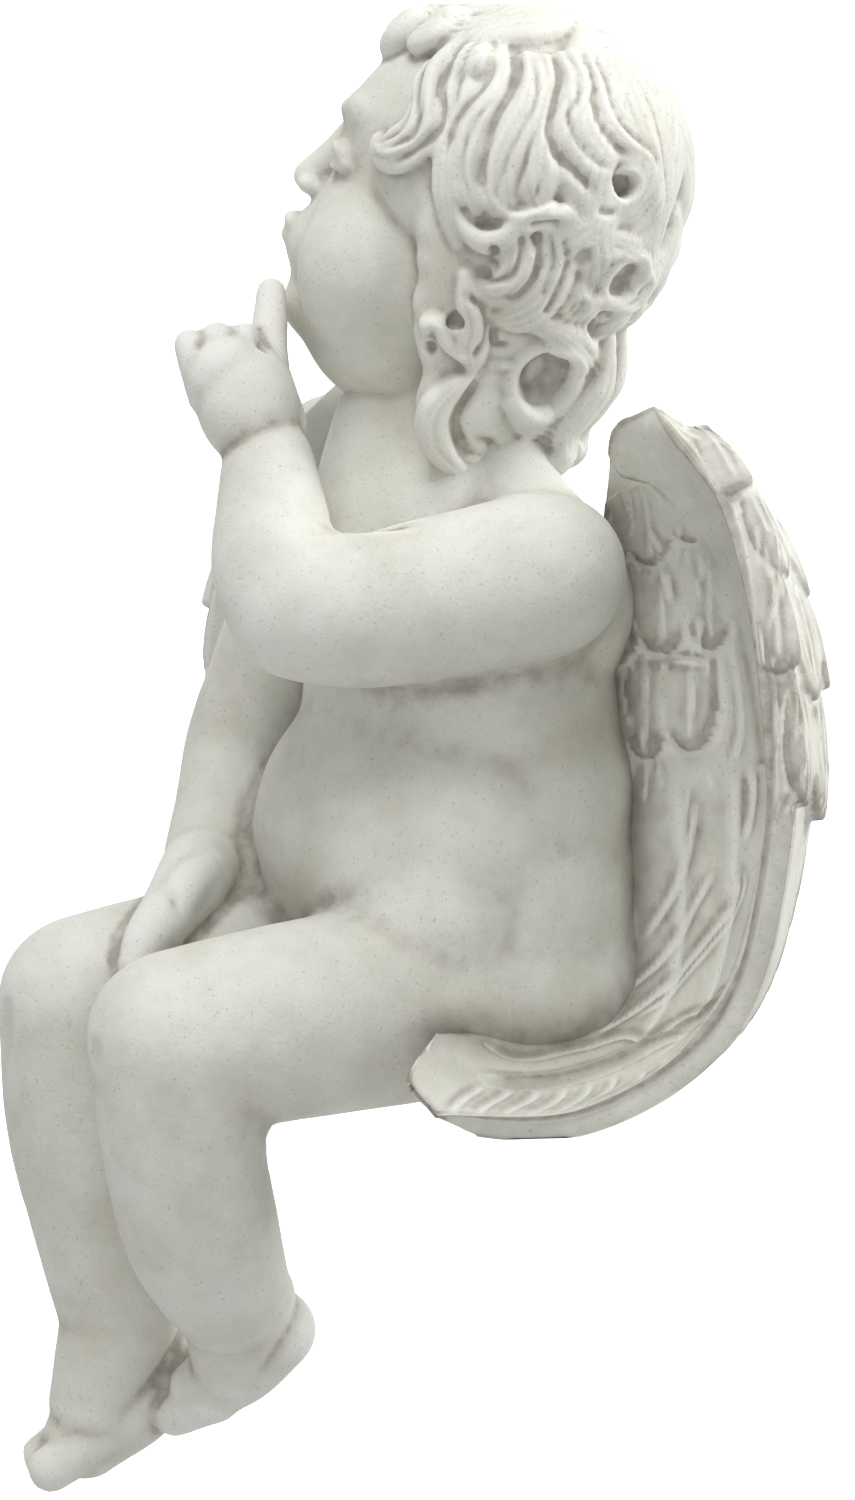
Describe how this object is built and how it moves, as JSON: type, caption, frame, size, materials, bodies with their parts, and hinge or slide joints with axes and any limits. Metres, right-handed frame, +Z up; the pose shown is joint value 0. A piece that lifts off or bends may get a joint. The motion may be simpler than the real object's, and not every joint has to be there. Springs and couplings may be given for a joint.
{
  "type": "angel statue",
  "caption": "Seated winged cherub cast in pale stone, made to sit on the edge of a shelf or wall with its legs hanging, one hand raised to the lips and the other in the lap.",
  "frame": {"origin": "middle of the flat underside of the seat, level with the top of the shelf or wall that it sits on", "axes": "+Z up, the figure faces -Y and its own left side is at +X; the legs hang below the origin"},
  "size_m": [0.3068, 0.2305, 0.4839],
  "materials": {
    "cast_stone": "matte, finely pitted cast stone with light edges and a grey-brown patina in the hollows"
  },
  "bodies": {
    "root": {"cherub": "cast_stone"}
  },
  "joints": []
}
